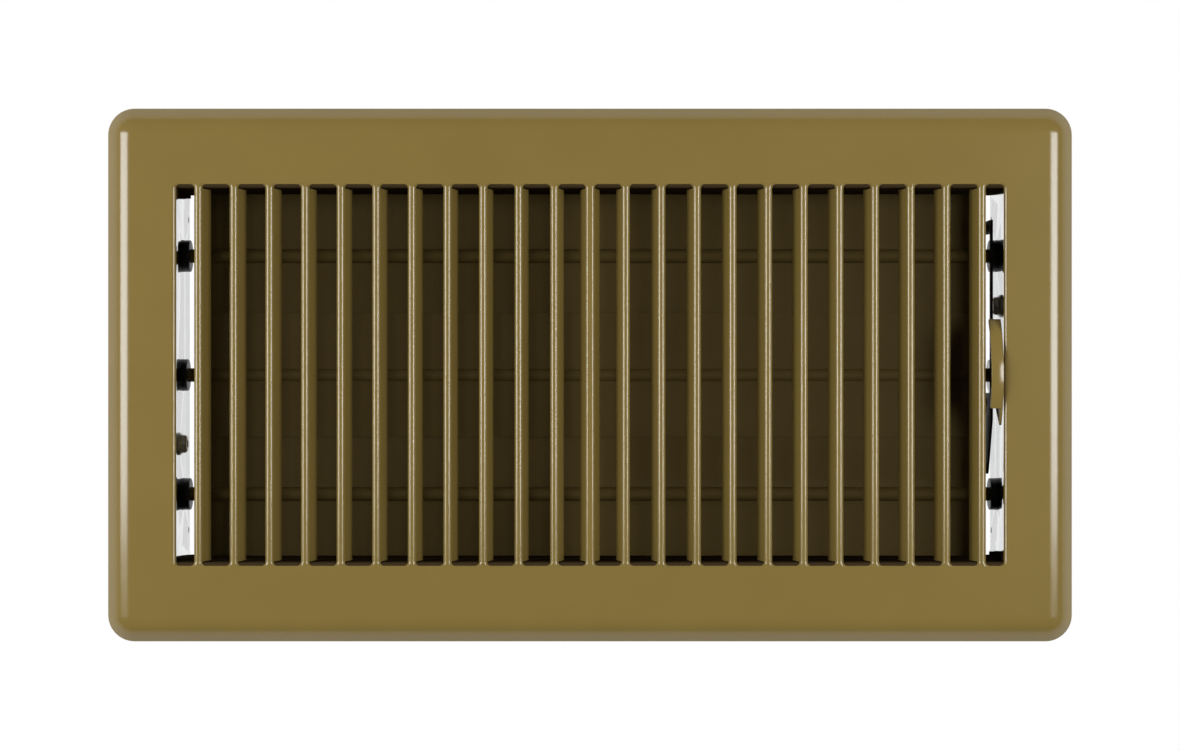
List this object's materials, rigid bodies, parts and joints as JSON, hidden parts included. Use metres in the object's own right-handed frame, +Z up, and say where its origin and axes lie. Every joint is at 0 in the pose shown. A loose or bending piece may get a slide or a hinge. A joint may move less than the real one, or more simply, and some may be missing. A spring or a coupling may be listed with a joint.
{
  "type": "floor register",
  "caption": "Louvred steel floor register: stamped two-way grille over a shallow damper box, with opposed blades turned together by a thumb lever and a link bar.",
  "frame": {"origin": "centre of the overall box, at the bottom edge of the damper box", "axes": "+X along the length of the plate, towards the end with the thumb lever; +Y across it, towards the rear blade; +Z up out of the face"},
  "size_m": [0.3454, 0.191, 0.0426],
  "materials": {
    "painted_steel": "satin golden tan enamel baked on stamped sheet steel",
    "galvanised_steel": "bright smooth zinc coating on sheet steel",
    "dark_steel": "dark oiled steel strip",
    "zinc_plated_steel": "bright zinc plate on screws",
    "black_nylon": "moulded, slightly satin"
  },
  "bodies": {
    "root": {"faceplate": "painted_steel", "side_wall_front": "painted_steel", "side_wall_rear": "painted_steel", "face_bracket_left": "painted_steel", "face_bracket_right": "painted_steel", "end_wall_left": "galvanised_steel", "end_wall_right": "galvanised_steel", "hex_screw_left": "zinc_plated_steel", "hex_screw_right": "zinc_plated_steel", "pivot_bushing_front_left": "black_nylon", "pivot_bushing_front_right": "black_nylon", "pivot_bushing_middle_left": "black_nylon", "pivot_bushing_middle_right": "black_nylon", "pivot_bushing_rear_left": "black_nylon", "pivot_bushing_rear_right": "black_nylon"},
    "middle_blade": {"damper_blade_middle": "painted_steel", "thumb_lever": "painted_steel"},
    "rear_blade": {"damper_blade_rear": "painted_steel"},
    "front_blade": {"damper_blade_front": "painted_steel"},
    "link": {"link_bar": "dark_steel"}
  },
  "joints": [
    {"name": "lever_turn", "type": "hinge", "parent": "root", "child": "middle_blade", "pos_m": [0, 0, 0.012], "axis": [1, 0, 0], "range_deg": [0, 50]},
    {"name": "rear_turn", "type": "hinge", "parent": "root", "child": "rear_blade", "pos_m": [0, 0.04367, 0.012], "axis": [1, 0, 0], "range_deg": [-50, 0]},
    {"name": "front_turn", "type": "hinge", "parent": "root", "child": "front_blade", "pos_m": [0, -0.04367, 0.012], "axis": [1, 0, 0], "range_deg": [-50, 0]},
    {"name": "link_turn", "type": "hinge", "parent": "rear_blade", "child": "link", "pos_m": [0.145, 0.05367, 0.017], "axis": [1, 0, 0], "range_deg": [0, 50]}
  ],
  "couplings": [
    {"joint": "rear_turn", "follows": "lever_turn", "ratio": -1},
    {"joint": "front_turn", "follows": "lever_turn", "ratio": -1},
    {"joint": "link_turn", "follows": "lever_turn", "ratio": 1}
  ]
}
